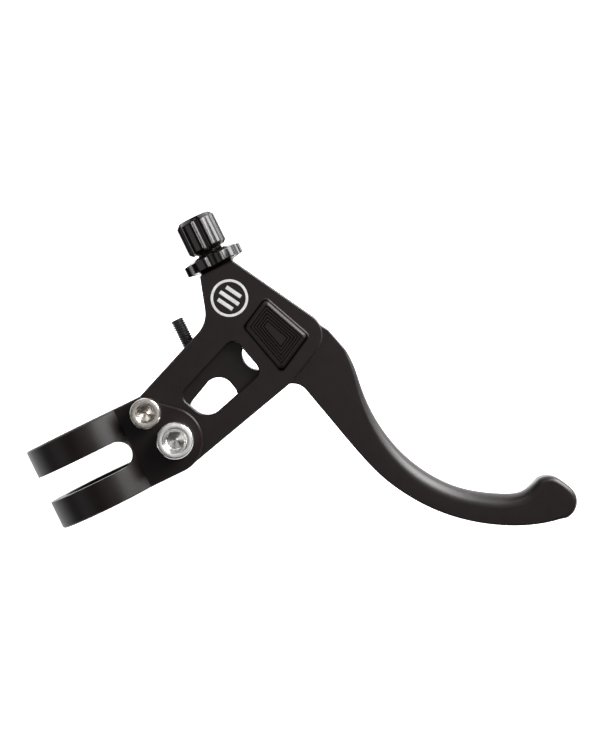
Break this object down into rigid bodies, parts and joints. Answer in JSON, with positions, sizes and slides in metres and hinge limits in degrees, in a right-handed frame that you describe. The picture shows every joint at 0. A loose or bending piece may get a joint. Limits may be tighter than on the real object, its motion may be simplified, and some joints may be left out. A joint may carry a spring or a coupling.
{
  "type": "clutch lever",
  "caption": "Short machined hand lever for a cable clutch, with perch, two-band handlebar clamp, reach screw and barrel adjuster.",
  "frame": {"origin": "the handlebar's axis, at the middle of the clamp's width and of the perch's thickness", "axes": "+X along the handlebar, outboard, the way the blade reaches; +Y forward from the bar to the lever; +Z towards the side with the raised pad and the screw heads"},
  "size_m": [0.1234, 0.1354, 0.0318],
  "materials": {
    "satin_black": "black anodised, satin, machined alloy",
    "gloss_black": "black anodised, glossy, turned alloy",
    "stainless": "plain stainless, lightly turned",
    "black_steel": "black oxide on threaded steel",
    "plated_steel": "zinc plated",
    "bronze": "sintered bronze, oiled",
    "slippery_plastic": "plain acetal"
  },
  "bodies": {
    "perch": {"perch_body": "satin_black", "bar_clamp": "satin_black", "pivot_screw": "stainless", "clamp_screw": "stainless", "pivot_nut": "plated_steel", "clamp_nut": "plated_steel", "pivot_nut_washer": "plated_steel", "clamp_nut_washer": "plated_steel", "pivot_sleeve": "plated_steel", "thrust_washer_front": "slippery_plastic", "thrust_washer_rear": "slippery_plastic"},
    "lever_arm": {"lever": "satin_black", "pivot_bush": "bronze"},
    "adjuster": {"barrel_adjuster": "gloss_black"},
    "adjuster_nut": {"lock_nut": "gloss_black"},
    "reach_stop": {"reach_screw": "black_steel"}
  },
  "joints": [
    {"name": "lever_pivot", "type": "hinge", "parent": "perch", "child": "lever_arm", "pos_m": [0.0031, 0.0248, 0], "axis": [0, 0, 1], "range_deg": [-50, 0]},
    {"name": "adjuster_travel", "type": "slide", "parent": "perch", "child": "adjuster", "axis": [-1, 0, 0], "range_m": [0, 0.007]},
    {"name": "lock_nut_turn", "type": "hinge", "parent": "perch", "child": "adjuster_nut", "pos_m": [-0.0377, 0.0561, 0], "axis": [-1, 0, 0], "continuous": true},
    {"name": "reach_screw_travel", "type": "slide", "parent": "perch", "child": "reach_stop", "axis": [-1, 0, 0], "range_m": [0, 0.004]}
  ]
}
